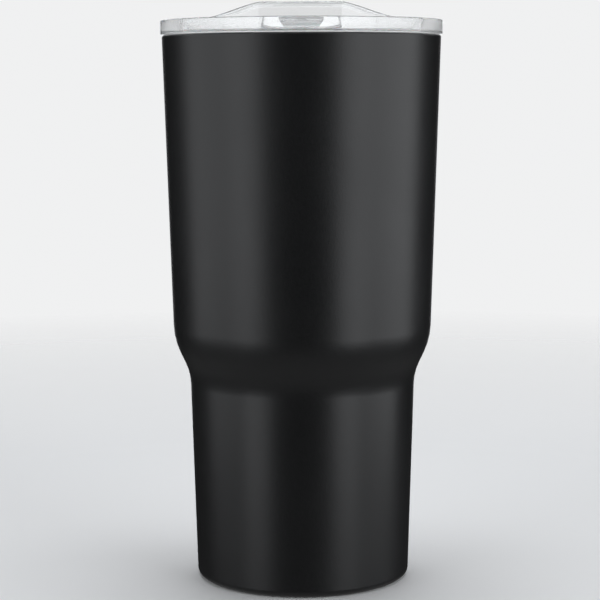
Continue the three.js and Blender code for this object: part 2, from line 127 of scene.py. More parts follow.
# Slider and what it runs in. Lengths are along Y.
SLIDER_CORNER = 8.0
SLIDER_THICKNESS = 2.2
SLIDER_TOP_EDGE = 0.6
SLIDER_CLEARANCE = 0.3
SLIDER_TRAVEL = 13.0
TRACK_FLOOR_FILLET = 0.2
TRACK_RIM_FILLET = 0.35
CUTTER_REACH = 8.0
OVERLAP = 1.0  # of pieces that are joined or cut
SLOT_WIDTH = 19.0
SLOT_LENGTH = 6.5
STEM_WIDTH = 4.4
STEM_LENGTH = 7.0
STEM_CLEARANCE = 0.25
POST_WIDTH = 2.8
POST_LENGTH = 4.4
POST_CLEARANCE = 0.12
STEM_EDGE = 0.2
HEAD_HEIGHT = 0.8
KEEPER_CLEARANCE = 0.25
KEEPER_CORNER = 3.0
SEAL_CLEARANCE = 0.12
SEAL_TOP_EDGE = 0.1
TAB_WIDTH = 15.0
TAB_LENGTH = 7.0
TAB_CORNER = 1.6
TAB_ROOT = 0.8  # how deep the tab reaches into the plate
TAB_FOOT = 0.6
TAB_FOOT_START = 0.3  # the angles, in radians, at which the foot's fillet has its rings
TAB_FOOT_STEP = 0.4
TAB_CREST = 1.0
TAB_CREST_STEPS = 7
VENT_RADIUS = 1.2
VENT_SETBACK = 9.0

# Mesh fineness.
SEGMENTS = 256
LID_SEGMENTS = 360
SMALL_SEGMENTS = 64
BLEND_STEPS = 8
ROW_SPACING = 1.2
ARC_STEP = math.radians(9)
SHARP_ANGLE = 35.0
FILLET_SHARE = 0.49  # of a straight line, the most that one fillet may use
STRAIGHT = 1e-6  # radians
ON_AXIS = 1e-6
MERGE_DISTANCE = 1e-4
NORMAL_WEIGHT = 60


# ---------------------------------------------------------------- outlines

def between(low, high, z):
    """The radius at height z on the line through two (radius, height) points."""
    return low[0] + (high[0] - low[0]) * (z - low[1]) / (high[1] - low[1])


def direction(a, b):
    """The unit vector from one point of a profile to another."""
    length = math.hypot(b[0] - a[0], b[1] - a[1])
    return (b[0] - a[0]) / length, (b[1] - a[1]) / length


def offset(corners, distance):
    """A profile moved sideways, to the right as it is walked."""
    moved = []
    for i, corner in enumerate(corners):
        before = direction(corners[i - 1], corner) if i else None
        after = direction(corner, corners[i + 1]) if i < len(corners) - 1 else None
        ar, az = before or after
        br, bz = after or before
        turn = ar * bz - az * br
        share = distance / (1 + ar * br + az * bz)
        fillet = corner[2] if len(corner) > 2 else 0
        if fillet:
            fillet = max(0.0, fillet + math.copysign(distance, distance * turn))
        moved.append((corner[0] + share * (az + bz), corner[1] - share * (ar + br), fillet))
    return moved


def rounded(corners, closed=False):
    """The points of a profile of (radius, height, fillet) corners, with its fillets as arcs."""
    points = []
    count = len(corners)
    for i, corner in enumerate(corners):
        r, z = corner[0], corner[1]
        fillet = corner[2] if len(corner) > 2 else 0
        if not fillet or (not closed and i in (0, count - 1)):
            points.append((r, z))
            continue
        previous, following = corners[i - 1], corners[(i + 1) % count]
        ar, az = direction(previous, corner)
        br, bz = direction(corner, following)
        turn = math.atan2(ar * bz - az * br, ar * br + az * bz)
        if abs(turn) < STRAIGHT:
            continue
        room = FILLET_SHARE * min(
            math.hypot(r - previous[0], z - previous[1]),
            math.hypot(following[0] - r, following[1] - z),
        )
        radius = min(fillet, room / math.tan(abs(turn) / 2))
        tangent = radius * math.tan(abs(turn) / 2)
        side = math.copysign(1, turn)
        centre = (r - tangent * ar - side * radius * az, z - tangent * az + side * radius * ar)
        start = math.atan2(z - tangent * az - centre[1], r - tangent * ar - centre[0])
        steps = max(2, math.ceil(abs(turn) / ARC_STEP))
        angles = [start + turn * k / steps for k in range(steps + 1)]
        points += [(centre[0] + radius * math.cos(a), centre[1] + radius * math.sin(a)) for a in angles]
    return points


def with_rows(points, spacing):
    """The same outline with its long straight stretches divided."""
    finer = []
    for a, b in zip(points, points[1:]):
        parts = max(1, math.ceil(math.dist(a, b) / spacing))
        shares = [k / parts for k in range(parts)]
        finer += [(a[0] + (b[0] - a[0]) * t, a[1] + (b[1] - a[1]) * t) for t in shares]
    return finer + [points[-1]]


def sheet_outline(corners, thickness):
    """A closed outline of pressed sheet: one face of it, and back along the other."""
    face = rounded(corners)
    back = rounded(offset(corners, thickness))
    return face + back[::-1]


def rounded_rectangle(width, length, corner, y, grow=0.0):
    """Points round a rectangle with round corners, centred on (0, y) and grown all round."""
    w, l = width / 2, length / 2
    c = min(corner, w, l)
    steps = max(6, math.ceil((math.pi / 2) / ARC_STEP))
    points = []
    for quarter, (sx, sy) in enumerate([(1, 1), (-1, 1), (-1, -1), (1, -1)]):
        for k in range(steps + 1):
            angle = (quarter + k / steps) * math.pi / 2
            points.append((
                sx * (w - c) + (c + grow) * math.cos(angle),
                y + sy * (l - c) + (c + grow) * math.sin(angle),
            ))
    return points


# ---------------------------------------------------------------- meshes

def finish_mesh(name, bm):
    """Turns a bmesh in millimetres into an object with smooth faces and weighted normals."""
    bmesh.ops.remove_doubles(bm, verts=bm.verts, dist=MERGE_DISTANCE)
    bmesh.ops.recalc_face_normals(bm, faces=bm.faces)
    bmesh.ops.scale(bm, vec=(MM, MM, MM), verts=bm.verts)
    mesh = bpy.data.meshes.new(name)
    bm.to_mesh(mesh)
    bm.free()
    piece = bpy.data.objects.new(name, mesh)
    bpy.context.scene.collection.objects.link(piece)
    smooth(piece)
    return piece


def smooth(piece):
    """Smooth faces with weighted normals, but for edges that turn sharply."""
    piece.data.shade_smooth()
    piece.data.set_sharp_from_angle(angle=math.radians(SHARP_ANGLE))
    weighted = piece.modifiers.new("normals", "WEIGHTED_NORMAL")
    weighted.keep_sharp = True
    weighted.weight = NORMAL_WEIGHT


def lathe(name, outline, segments=SEGMENTS, move=None):
    """Revolves an outline about Z. One that starts and ends on the axis stays open, others close."""
    bm = bmesh.new()
    rings = []
    for r, z in outline:
        if r < ON_AXIS:
            rings.append([bm.verts.new((0, 0, z))])
            continue
        ring = []
        for k in range(segments):
            angle = 2 * math.pi * k / segments
            x, y = r * math.sin(angle), -r * math.cos(angle)
            ring.append(bm.verts.new(move(x, y, z) if move else (x, y, z)))
        rings.append(ring)
    pairs = list(zip(rings, rings[1:]))
    if len(rings[0]) > 1:
        pairs.append((rings[-1], rings[0]))
    for low, high in pairs:
        for k in range(segments):
            following = (k + 1) % segments
            corners = [low[k % len(low)], low[following % len(low)]]
            corners += [high[following % len(high)], high[k % len(high)]]
            distinct = list(dict.fromkeys(corners))
            if len(distinct) > 2:
                bm.faces.new(distinct)
    return finish_mesh(name, bm)


def tower(name, outline_at, levels):
    """A closed solid through stacked outlines. levels holds (height, growth) pairs, upwards."""
    bm = bmesh.new()
    rings = [[bm.verts.new((x, y, z)) for x, y in outline_at(grow)] for z, grow in levels]
    for low, high in zip(rings, rings[1:]):
        for k in range(len(low)):
            following = (k + 1) % len(low)
            bm.faces.new([low[k], low[following], high[following], high[k]])
    bm.faces.new(rings[0][::-1])
    bm.faces.new(rings[-1])
    return finish_mesh(name, bm)


def edge_levels(bottom, top, low_radius, high_radius, steps=6):
    """(height, growth) pairs of a wall whose bottom and top edges are rounded inwards."""
    quarter = [k / steps * math.pi / 2 for k in range(steps + 1)]
    low = [(bottom + low_radius * (1 - math.cos(a)), low_radius * (math.sin(a) - 1)) for a in quarter]
    high = [(top - high_radius * (1 - math.sin(a)), high_radius * (math.cos(a) - 1)) for a in quarter]
    return (low if low_radius else [(bottom, 0)]) + (high if high_radius else [(top, 0)])


def pocket_levels(floor, surface, floor_radius, rim_radius, reach, steps=6):
    """Levels of a cutter that leaves a rounded floor corner and a rounded rim."""
    quarter = [k / steps * math.pi / 2 for k in range(steps + 1)]
    low = [(floor + floor_radius * (1 - math.cos(a)), floor_radius * (math.sin(a) - 1)) for a in quarter]
    rim = [(surface - rim_radius * (1 - math.sin(a)), rim_radius * (1 - math.cos(a))) for a in quarter]
    levels = (low if floor_radius else [(floor, 0)]) + rim
    return levels + [(surface + reach, rim_radius)]


def through_levels(bottom, top, rim_radius, reach=1.0, steps=5):
    """Levels of a cutter right through a plate, which rounds both rims."""
    quarter = [k / steps * math.pi / 2 for k in range(steps + 1)]
    low = [(bottom + rim_radius * (1 - math.cos(a)), rim_radius * (1 - math.sin(a))) for a in quarter]
    high = [(top - rim_radius * (1 - math.sin(a)), rim_radius * (1 - math.cos(a))) for a in quarter]
    return [(bottom - reach, rim_radius)] + low + high + [(top + reach, rim_radius)]


def rectangle_tower(name, width, length, corner, y, levels):
    """A plate or a cutter with round corners, centred on (0, y)."""
    return tower(name, lambda grow: rounded_rectangle(width, length, corner, y, grow), levels)


def stadium(name, width, length, y, levels):
    """The same with fully round ends."""
    return rectangle_tower(name, width, length, min(width, length) / 2, y, levels)


def disc(name, radius, x, y, levels):
    def outline(grow):
        angles = [2 * math.pi * k / SMALL_SEGMENTS for k in range(SMALL_SEGMENTS)]
        return [(x + (radius + grow) * math.cos(a), y + (radius + grow) * math.sin(a)) for a in angles]

    return tower(name, outline, levels)


def combine(piece, others, operation="DIFFERENCE"):
    """Cuts the others from a piece, or joins them to it, and deletes them."""
    piece.modifiers.clear()
    for other in others:
        other.modifiers.clear()
        modifier = piece.modifiers.new("combine", "BOOLEAN")
        modifier.operation = operation
        modifier.solver = "EXACT"
        modifier.object = other
    graph = bpy.context.evaluated_depsgraph_get()
    result = bpy.data.meshes.new_from_object(piece.evaluated_get(graph))
    piece.modifiers.clear()
    old = piece.data
    piece.data = result
    bpy.data.meshes.remove(old)
    for other in others:
        bpy.data.objects.remove(other)
    smooth(piece)
    return piece


# ---------------------------------------------------------------- materials

class Nodes:
    """A small helper that adds nodes to a material's tree and links them."""

    def __init__(self, name):
        self.material = bpy.data.materials.new(name)
        self.material.use_nodes = True
        self.tree = self.material.node_tree
        self.shader = self.tree.nodes["Principled BSDF"]
        self.output = self.tree.nodes["Material Output"]

    def add(self, kind, inputs=None, **settings):
        node = self.tree.nodes.new(kind)
        for key, value in settings.items():
            setattr(node, key, value)
        for key, value in (inputs or {}).items():
            if isinstance(value, bpy.types.NodeSocket):
                self.tree.links.new(value, node.inputs[key])
            else:
                node.inputs[key].default_value = value
        return node

    def set(self, **values):
        """Sets the shader's own sockets, named with underscores for spaces."""
        for key, value in values.items():
            self.shader.inputs[key.replace("_", " ")].default_value = value

    def link(self, socket, name):
        self.tree.links.new(socket, self.shader.inputs[name])

    def place(self, scale=(1, 1, 1)):
        """Object coordinates in metres, stretched."""
        coordinates = self.add("ShaderNodeTexCoord")
        inputs = {"Vector": coordinates.outputs["Object"], "Scale": scale}
        return self.add("ShaderNodeMapping", inputs).outputs["Vector"]

    def noise(self, vector, scale, detail=2.0, roughness=0.5):
        inputs = {"Vector": vector, "Scale": scale, "Detail": detail, "Roughness": roughness}
        return self.add("ShaderNodeTexNoise", inputs).outputs["Fac"]

    def spread(self, value, low, high, from_low=0.0, from_high=1.0):
        """A value moved from one range to another."""
        inputs = {"Value": value, "From Min": from_low, "From Max": from_high}
        inputs |= {"To Min": low, "To Max": high}
        return self.add("ShaderNodeMapRange", inputs).outputs["Result"]

    def total(self, first, second):
        return self.add("ShaderNodeMath", {0: first, 1: second}, operation="ADD").outputs[0]

    def cells(self, scale, **settings):
        inputs = {"Vector": self.place(), "Scale": scale}
        return self.add("ShaderNodeTexVoronoi", inputs, **settings).outputs["Distance"]

    def tint(self, value, low, high):
        """A colour between two, chosen by a value from 0 to 1."""
        mix = self.tree.nodes.new("ShaderNodeMix")
        mix.data_type = "RGBA"
        factor, first, second = (s for s in mix.inputs if s.enabled and s.type in ("VALUE", "RGBA"))
        self.tree.links.new(value, factor)
        first.default_value = (*low, 1)
        second.default_value = (*high, 1)
        return next(s for s in mix.outputs if s.enabled)

    def bump(self, height, strength, distance):
        inputs = {"Height": height, "Strength": strength, "Distance": distance}
        self.link(self.add("ShaderNodeBump", inputs).outputs["Normal"], "Normal")


def powder_coat():
    """Satin black powder coat: a fine pebbled skin with slightly uneven gloss."""
    nodes = Nodes("powder_coat")
    place = nodes.place()
    grain = nodes.noise(place, 1500, 3, 0.55)
    cloud = nodes.noise(place, 22, 3)
    nodes.link(nodes.tint(grain, (0.0035, 0.0036, 0.0039), (0.0065, 0.0067, 0.0071)), "Base Color")
    nodes.link(nodes.spread(nodes.total(grain, cloud), 0.32, 0.4, 0.7, 1.3), "Roughness")
    nodes.set(IOR=1.5, Specular_IOR_Level=0.5)
    nodes.bump(grain, 0.35, 0.00006)
    return nodes.material


def steel(name, stretch, base=(0.60, 0.595, 0.58), rough=(0.2, 0.34)):
    """Stainless steel with fine lines, drawn out along the directions with a small stretch."""
    nodes = Nodes(name)
    lines = nodes.noise(nodes.place(stretch), 1, 4, 0.6)
    cloud = nodes.noise(nodes.place(), 30, 2)
    nodes.link(nodes.tint(lines, tuple(c * 0.88 for c in base), base), "Base Color")
    nodes.link(nodes.spread(lines, *rough), "Roughness")
    nodes.set(Metallic=1.0)
    nodes.bump(nodes.total(lines, cloud), 0.12, 0.00003)
    return nodes.material


def turned_steel():
    """Stainless steel with faint rings round the axis, as on a spun disc."""
    nodes = Nodes("turned_steel")
    place = nodes.place((1, 1, 0))
    radius = nodes.add("ShaderNodeVectorMath", {0: place}, operation="LENGTH").outputs["Value"]
    inputs = {"W": radius, "Scale": 2600, "Detail": 3}
    rings = nodes.add("ShaderNodeTexNoise", inputs, noise_dimensions="1D").outputs["Fac"]
    nodes.link(nodes.tint(rings, (0.5, 0.495, 0.48), (0.62, 0.615, 0.6)), "Base Color")
    nodes.link(nodes.spread(rings, 0.22, 0.38), "Roughness")
    nodes.set(Metallic=1.0)
    nodes.bump(rings, 0.15, 0.00003)
    return nodes.material


def clear_plastic():
    """Polished clear copolyester. Lamps shine through it, so what it covers is lit."""
    nodes = Nodes("clear_plastic")
    place = nodes.place()
    wave = nodes.noise(place, 60, 2)
    haze = nodes.noise(place, 700, 2)
    nodes.set(Base_Color=(0.962, 0.967, 0.97, 1), IOR=1.54, Transmission_Weight=0.96)
    nodes.link(nodes.spread(haze, 0.0, 0.05, 0.35, 0.8), "Roughness")
    nodes.bump(wave, 0.05, 0.0002)
    path = nodes.add("ShaderNodeLightPath")
    pass_through = nodes.add("ShaderNodeBsdfTransparent", {"Color": (0.93, 0.94, 0.94, 1)})
    inputs = {0: path.outputs["Is Shadow Ray"], 1: nodes.shader.outputs[0], 2: pass_through.outputs[0]}
    mix = nodes.add("ShaderNodeMixShader", inputs)
    nodes.tree.links.new(mix.outputs[0], nodes.output.inputs["Surface"])
    return nodes.material


def silicone():
    """Milky food-grade silicone with a soft sheen."""
    nodes = Nodes("silicone")
    place = nodes.place()
    cloud = nodes.noise(place, 90, 2)
    nodes.link(nodes.tint(cloud, (0.52, 0.535, 0.53), (0.62, 0.63, 0.625)), "Base Color")
    nodes.link(nodes.spread(nodes.noise(place, 900, 2), 0.38, 0.5), "Roughness")
    nodes.set(IOR=1.41, Subsurface_Weight=0.35, Subsurface_Scale=0.002, Transmission_Weight=0.25)
    nodes.bump(nodes.noise(place, 1600, 2), 0.15, 0.00003)
    return nodes.material


def copper_foil():
    """Thin bright foil, creased where it was wrapped."""
    nodes = Nodes("copper_foil")
    place = nodes.place()
    crease = nodes.cells(130, feature="F2")
    nodes.link(nodes.tint(nodes.noise(place, 80, 3), (0.66, 0.33, 0.19), (0.8, 0.44, 0.27)), "Base Color")
    nodes.link(nodes.spread(nodes.noise(place, 300, 3), 0.18, 0.34), "Roughness")
    nodes.set(Metallic=1.0)
    nodes.bump(crease, 0.5, 0.0004)
    return nodes.material


def solder_glass():
    """Dark fused glass with small bubbles."""
    nodes = Nodes("solder_glass")
    place = nodes.place()
    bubbles = nodes.cells(2200)
    nodes.link(nodes.tint(nodes.noise(place, 600), (0.05, 0.06, 0.05), (0.11, 0.125, 0.11)), "Base Color")
    nodes.link(nodes.spread(bubbles, 0.08, 0.2), "Roughness")
    nodes.set(IOR=1.6)
    nodes.bump(bubbles, 0.3, 0.0001)
    return nodes.material


def getter_alloy():
    """Pressed metal powder: dark, dull and porous."""
    nodes = Nodes("getter_alloy")
    pores = nodes.cells(3500)
    nodes.link(nodes.tint(pores, (0.07, 0.07, 0.075), (0.17, 0.17, 0.175)), "Base Color")
    nodes.link(nodes.spread(pores, 0.55, 0.8), "Roughness")
    nodes.set(Metallic=0.8)
    nodes.bump(pores, 0.6, 0.0001)
    return nodes.material


def dress(piece, material, slot, body, *nodes):
    """Gives a piece its material and its body, in place of CAD nodes. The slot is not used."""
    piece.data.materials.clear()
    piece.data.materials.append(material)
    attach(piece, body)
    if nodes:
        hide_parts(*nodes)


# ---------------------------------------------------------------- cup

RIM = (RIM_RADIUS, CUP_HEIGHT, LIP_FILLET)
BASE = (BASE_RADIUS, 0.0, BASE_FILLET)
MOUTH_TOP_RADIUS = between(SHOULDER, RIM, CUP_HEIGHT) - LIP_WIDTH
FOOT_RADIUS = BASE_RADIUS - FOOT_WIDTH
PAN_RADIUS = FOOT_RADIUS - WELD_GAP - SHEET
LINER_WALL = offset([RIM, SHOULDER, GRIP, BASE], WALL)


def mouth_radius(z):
    return between(SHOULDER, RIM, z) - LIP_WIDTH


def liner_upper_radius(z):
    return between(LINER_WALL[1], LINER_WALL[0], z)


def liner_lower_radius(z):
    return between(LINER_WALL[3], LINER_WALL[2], z)


def outer_shell():
    """The coated shell, from its weld at the mouth over the lip, down, and under into the foot ring."""
    edge = (MOUTH_TOP_RADIUS + SHEET + WELD_GAP, CUP_HEIGHT)
    foot = [(FOOT_RADIUS, 0.0, FOOT_FILLET), (FOOT_RADIUS, FOOT_CURL)]
    return lathe("tumbler_shell", sheet_outline([edge, RIM, SHOULDER, GRIP, BASE, *foot], SHEET))


def inner_cup():
    """The liner's wall, from the mouth down past the step and the shoulder."""
    weld = LINER_FLOOR_HEIGHT + LINER_FLOOR_WALL
    return lathe("inner_cup", sheet_outline([
        (mouth_radius(CUP_HEIGHT), CUP_HEIGHT),
        (mouth_radius(MOUTH_BOTTOM), MOUTH_BOTTOM, MOUTH_STEP_FILLET),
        (liner_upper_radius(MOUTH_STEP_BOTTOM), MOUTH_STEP_BOTTOM, MOUTH_STEP_FILLET),
        LINER_WALL[1],
        LINER_WALL[2],
        (liner_lower_radius(weld), weld),
    ], -SHEET))


def cup_floor():
    edge = LINER_FLOOR_HEIGHT + LINER_FLOOR_WALL - WELD_GAP
    return lathe("cup_floor", sheet_outline([
        (liner_lower_radius(edge), edge),
        (liner_lower_radius(LINER_FLOOR_HEIGHT), LINER_FLOOR_HEIGHT, LINER_FLOOR_FILLET),
        (0.0, LINER_FLOOR_HEIGHT),
    ], -SHEET))


def base_pan():
    dimple = PAN_HEIGHT + DIMPLE_RISE
    return lathe("bottom_pan", sheet_outline([
        (PAN_RADIUS, PAN_LIFT),
        (PAN_RADIUS, PAN_HEIGHT, PAN_FILLET),
        (DIMPLE_RADIUS + DIMPLE_SLOPE, PAN_HEIGHT, PAN_FILLET),
        (DIMPLE_RADIUS, dimple, PAN_FILLET),
        (PORT_RADIUS, dimple),
    ], SHEET))


def base_cover():
    radius = PAN_RADIUS - COVER_CLEARANCE
    return lathe("base_plate", sheet_outline([
        (radius, PAN_HEIGHT - PAN_FILLET - COVER_CLEARANCE),
        (radius, COVER_RECESS, COVER_FILLET),
        (0.0, COVER_RECESS),
    ], COVER_SHEET))


def make_cup():
    coat = powder_coat()
    drawn = steel("drawn_steel", (25, 25, 2600))
    polished = steel("polished_steel", (400, 400, 400), rough=(0.12, 0.2))
    turned = turned_steel()
    dress(outer_shell(), coat, "powder_coat", "cup", "outer_shell")
    dress(inner_cup(), drawn, "steel", "cup", "inner_liner")
    dress(cup_floor(), turned, "steel", "cup", "liner_floor")
    dress(base_pan(), turned, "steel", "cup", "base_pan")
    dress(base_cover(), turned, "steel", "cup", "base_cover")
    looks = {
        "vacuum_seal_bead": solder_glass(),
        "upper_foil_wrap": copper_foil(),
        "getter_cage": polished,
        "getter_pellet": getter_alloy(),
    }
    looks["lower_foil_wrap"] = looks["upper_foil_wrap"]
    for node, material in looks.items():
        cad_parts[node].data.materials.clear()
        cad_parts[node].data.materials.append(material)


# ---------------------------------------------------------------- lid

def node_box(node):
    """The corners of a CAD node, in mm."""
    low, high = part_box(node)
    return Vector(low) / MM, Vector(high) / MM


def crown(x, y):
    """The height of the lid's top edge: a spout at the front with ramps down to the flange."""
    if y > 0:
        return FLANGE_TOP
    t = (SPOUT_FOOT_HALF - abs(x)) / (SPOUT_FOOT_HALF - SPOUT_TOP_HALF)
    t = max(0.0, min(1.0, t))
    eased = t * t * (3 - 2 * t)
    return FLANGE_TOP + SPOUT_RISE * (t + (eased - t) * SPOUT_EASING)


def raise_spout(x, y, z):
    """Lifts what stands outside the ledge: the top with its edge as it is, and the wall by stretching."""
    beyond = math.hypot(x, y) - LEDGE_RADIUS
    if z <= SEAT + SEAT_FILLET or beyond <= 0:
        return x, y, z
    lift = crown(x, y) - FLANGE_TOP
    below = FLANGE_TOP - RIGID_TOP
    if z < below:
        return x, y, z + lift * (z - SEAT - SEAT_FILLET) / (below - SEAT - SEAT_FILLET)
    curve = math.sin(math.acos(max(0.0, 1 - beyond / SPOUT_BLEND)))
    return x, y, z + lift * curve


def plug_radius(z):
    return mouth_radius(z) - PLUG_CLEARANCE


def lid_shell():
    """The clear moulding: deck, flange, spout, and the plug wall with its gasket groove."""
    groove = plug_radius(GROOVE_BOTTOM) - GASKET_THICKNESS
    inside = groove - PLUG_WALL
    turns = [k / BLEND_STEPS * math.pi / 2 for k in range(BLEND_STEPS + 1)]
    spout_back = [(LEDGE_RADIUS + SPOUT_BLEND * (1 - math.cos(turn)), FLANGE_TOP) for turn in turns]
    outline = rounded([
        (0.0, DECK_TOP),
        (DECK_RADIUS, DECK_TOP, DECK_FILLET),
        (LEDGE_INSIDE, FLANGE_TOP, FLANGE_FILLET),
        *spout_back,
        (LID_RADIUS, FLANGE_TOP, FLANGE_FILLET),
        (LID_RADIUS, SEAT, SEAT_FILLET),
        (plug_radius(SEAT), SEAT, SOFT_EDGE),
        (plug_radius(GROOVE_TOP), GROOVE_TOP, SOFT_EDGE),
        (groove, GROOVE_TOP, GROOVE_FILLET),
        (groove, GROOVE_BOTTOM, GROOVE_FILLET),
        (plug_radius(GROOVE_BOTTOM), GROOVE_BOTTOM, SOFT_EDGE),
        (plug_radius(PLUG_BOTTOM), PLUG_BOTTOM + PLUG_CHAMFER, PLUG_EDGE),
        (plug_radius(PLUG_BOTTOM) - PLUG_CHAMFER, PLUG_BOTTOM, MOULDED_EDGE),
        (inside, PLUG_BOTTOM, MOULDED_EDGE),
        (inside, DECK_BOTTOM, DECK_UNDER_FILLET),
        (0.0, DECK_BOTTOM),
    ])
    lid = lathe("clear_lid", with_rows(outline, ROW_SPACING), LID_SEGMENTS, raise_spout)
    slider_low, slider_high = node_box("slider")
    seal_low, seal_high = node_box("slider_seal")
    keeper_low, keeper_high = node_box("slider_keeper")
    track_length = slider_high.y - slider_low.y + SLIDER_TRAVEL + 2 * SLIDER_CLEARANCE
    track_width = slider_high.x - slider_low.x + 2 * SLIDER_CLEARANCE
    track_y = slider_low.y - SLIDER_CLEARANCE + track_length / 2
    slot_y = (seal_low.y + seal_high.y) / 2
    stem_y = (keeper_low.y + keeper_high.y) / 2
    guide_width = STEM_WIDTH + 2 * STEM_CLEARANCE
    guide_length = STEM_LENGTH + SLIDER_TRAVEL + 2 * STEM_CLEARANCE
    track = rectangle_tower(
        "track", track_width, track_length, SLIDER_CORNER, track_y,
        pocket_levels(TRACK_FLOOR, DECK_TOP, TRACK_FLOOR_FILLET, TRACK_RIM_FILLET, CUTTER_REACH),
    )
    slot_levels = through_levels(DECK_BOTTOM, TRACK_FLOOR, MOULDED_EDGE)
    slot = stadium("slot", SLOT_WIDTH, SLOT_LENGTH, slot_y, slot_levels)
    guide = stadium(
        "guide", guide_width, guide_length, stem_y + SLIDER_TRAVEL / 2,
        through_levels(DECK_BOTTOM, TRACK_FLOOR, SOFT_EDGE),
    )
    vent_levels = through_levels(DECK_BOTTOM, DECK_TOP, MOULDED_EDGE)
    vent = disc("vent", VENT_RADIUS, 0, DECK_RADIUS - VENT_SETBACK, vent_levels)
    return combine(lid, [track, slot, guide, vent])


def gasket():
    """A sleeve with two soft fins, rounded as moulded silicone is."""
    low, high = node_box("lid_gasket")
    inside = plug_radius(GROOVE_BOTTOM) - GASKET_THICKNESS + POST_CLEARANCE
    band = plug_radius(GROOVE_BOTTOM) - POST_CLEARANCE
    quarter = (high.z - low.z) / 4
    tip = high.x - FIN_INSET
    fins = []
    for z in (high.z - quarter, low.z + quarter):
        fins += [(band, z + FIN_HALF, FIN_FILLET), (tip, z + TIP_ABOVE, TIP_FILLET)]
        fins += [(tip, z - TIP_BELOW, TIP_FILLET), (band, z - FIN_HALF, FIN_FILLET)]
    corners = [
        (inside, high.z, BAND_FILLET),
        (band, high.z, BAND_FILLET),
        *fins,
        (band, low.z, BAND_FILLET),
        (inside, low.z, BAND_FILLET),
    ]
    return lathe("gasket_ring", rounded(corners, closed=True), LID_SEGMENTS)


def slider():
    """The plate with its thumb tab, and the stem, post and head below it."""
    low, high = node_box("slider")
    keeper_low, keeper_high = node_box("slider_keeper")
    seal_low, seal_high = node_box("slider_seal")
    middle = (low.y + high.y) / 2
    stem_y = (keeper_low.y + keeper_high.y) / 2
    plate_bottom = seal_low.z + SLIDER_CLEARANCE
    plate_top = plate_bottom + SLIDER_THICKNESS
    plate = rectangle_tower(
        "clear_slider", high.x - low.x, high.y - low.y, SLIDER_CORNER, middle,
        edge_levels(plate_bottom, plate_top, MOULDED_EDGE, SLIDER_TOP_EDGE),
    )
    post_bottom = keeper_low.z - KEEPER_CLEARANCE
    stem_levels = edge_levels(keeper_high.z + POST_CLEARANCE, plate_bottom + OVERLAP, STEM_EDGE, 0)
    post_levels = edge_levels(post_bottom - HEAD_HEIGHT / 2, keeper_high.z + OVERLAP, 0, 0)
    head_levels = edge_levels(low.z, post_bottom, MOULDED_EDGE, SOFT_EDGE)
    stem = stadium("stem", STEM_WIDTH, STEM_LENGTH, stem_y, stem_levels)
    post = stadium("post", POST_WIDTH, POST_LENGTH, stem_y, post_levels)
    head = stadium("head", STEM_WIDTH, STEM_LENGTH, stem_y, head_levels)
    joined = combine(plate, [thumb_tab(stem_y, plate_top, high.z), stem, post, head], "UNION")
    seal_y = (seal_low.y + seal_high.y) / 2
    pocket = stadium(
        "pocket", seal_high.x - seal_low.x + 2 * SEAL_CLEARANCE,
        seal_high.y - seal_low.y + 2 * SEAL_CLEARANCE, seal_y,
        edge_levels(plate_bottom - OVERLAP, seal_high.z + SEAL_CLEARANCE, 0, SOFT_EDGE),
    )
    return combine(joined, [pocket])


def thumb_tab(y, plate_top, top):
    """A ridge across the slider with leaning faces, a rounded top and rounded ends."""

    def outline(grow):
        return rounded_rectangle(TAB_WIDTH, TAB_LENGTH, TAB_CORNER, y, grow)

    flares = [TAB_FOOT_START + k * TAB_FOOT_STEP for k in range(3)] + [math.pi / 2]
    foot = [(plate_top - TAB_ROOT, TAB_FOOT)]
    foot += [(plate_top + TAB_FOOT * (1 - math.cos(a)), TAB_FOOT * (1 - math.sin(a))) for a in flares]
    wall_top = top - TAB_CREST
    lean = TAB_LENGTH / 4 * (wall_top - plate_top) / (top - plate_top)
    turns = [k / TAB_CREST_STEPS * math.pi / 2 for k in range(1, TAB_CREST_STEPS + 1)]
    crest = [(wall_top + TAB_CREST * math.sin(a), -lean - TAB_CREST * (1 - math.cos(a))) for a in turns]
    return tower("tab", outline, [*foot, (wall_top, -lean), *crest])


def slider_seal():
    low, high = node_box("slider_seal")
    return stadium(
        "seal_pad", high.x - low.x, high.y - low.y, (low.y + high.y) / 2,
        edge_levels(low.z, high.z, MOULDED_EDGE, SEAL_TOP_EDGE),
    )


def slider_keeper():
    low, high = node_box("slider_keeper")
    y = (low.y + high.y) / 2
    plate = rectangle_tower(
        "keeper_plate", high.x - low.x, high.y - low.y, KEEPER_CORNER, y,
        edge_levels(low.z, high.z, MOULDED_EDGE, MOULDED_EDGE),
    )
    hole = stadium(
        "hole", POST_WIDTH + 2 * POST_CLEARANCE, POST_LENGTH + 2 * POST_CLEARANCE, y,
        through_levels(low.z, high.z, SOFT_EDGE),
    )
    return combine(plate, [hole])


def make_lid():
    plastic = clear_plastic()
    rubber = silicone()
    dress(lid_shell(), plastic, "clear_plastic", "lid", "lid_shell")
    dress(gasket(), rubber, "silicone", "gasket", "lid_gasket")
    dress(slider(), plastic, "clear_plastic", "closure", "slider")
    dress(slider_seal(), rubber, "silicone", "closure", "slider_seal")
    dress(slider_keeper(), plastic, "clear_plastic", "closure", "slider_keeper")


# ---------------------------------------------------------------- camera, floor and light

CAMERA_DISTANCE = 0.675
CAMERA_HEIGHT = 0.180
AIM = (-0.0008, 0.0, 0.1012)
LENS = 111.5
ROLL = math.radians(-0.18)
FLOOR_RADIUS = 2.0
FLOOR_FADE = (0.25, 0.8)  # the distances where the floor begins to fade and is gone
LAMP_TARGET = (0, 0, 0.12)
LAMP_COLOUR = (0.955, 0.975, 1.0)
BOUNCES = 32


